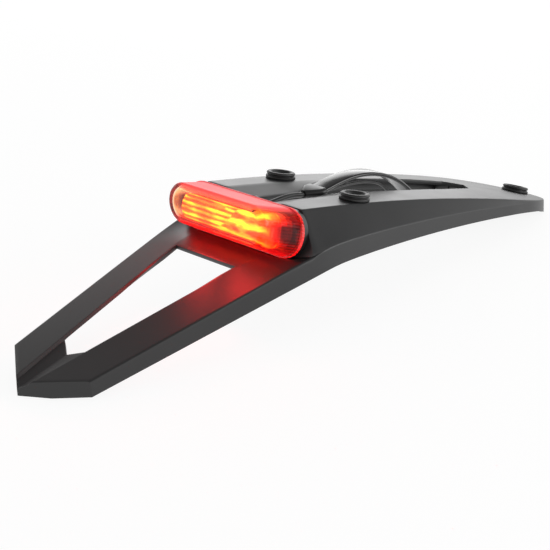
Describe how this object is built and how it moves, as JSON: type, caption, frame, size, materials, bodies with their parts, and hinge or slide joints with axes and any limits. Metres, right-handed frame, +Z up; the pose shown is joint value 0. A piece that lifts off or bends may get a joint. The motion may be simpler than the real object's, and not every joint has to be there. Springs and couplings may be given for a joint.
{
  "type": "motorcycle fender extension with rear lamp",
  "caption": "Long tapering fender extension with a swept tail frame round an open window, a deck with rubber mounting grommets, and a wide red rear lamp with its lead.",
  "frame": {"origin": "middle of the footprint, on the surface that the tail edge and the nose stand on", "axes": "+X forward to the nose that bolts under the fender, +Y to its left, +Z up; the lamp faces backwards along -X"},
  "size_m": [0.424, 0.1126, 0.0749],
  "materials": {
    "moulding": "fine textured polypropylene",
    "grommet": "smooth rubber",
    "lamp_base": "satin",
    "seal": "foam rubber",
    "red_lens": "clear red, polished",
    "board": "white solder mask",
    "chips": "yellow phosphor",
    "board_parts": "moulded chip resistors",
    "reflector": "vacuum metallised",
    "light_guide": "clear, polished",
    "screw": "zinc plated",
    "lead_rubber": "smooth rubber",
    "lead": "satin",
    "boot": "satin",
    "sleeve": "glossy",
    "wire": "glossy",
    "connector": "satin",
    "connector_cap": "satin",
    "clip": "satin"
  },
  "bodies": {
    "root": {"fender_moulding": "moulding", "grommet_left": "grommet", "grommet_right": "grommet", "grommet_front": "grommet", "lamp_base": "lamp_base", "lamp_seal": "seal", "lamp_lens": "red_lens", "led_board": "board", "led_chips": "chips", "board_parts": "board_parts", "reflector": "reflector", "light_guide": "light_guide", "lamp_screw_left": "screw", "lamp_screw_right": "screw", "lead_grommet": "lead_rubber", "lamp_lead": "lead", "lead_boot": "boot", "flat_sleeve": "sleeve", "thin_wire": "wire", "lead_tail": "lead", "lead_connector": "connector", "connector_cap": "connector_cap", "lead_clip": "clip"}
  },
  "joints": []
}
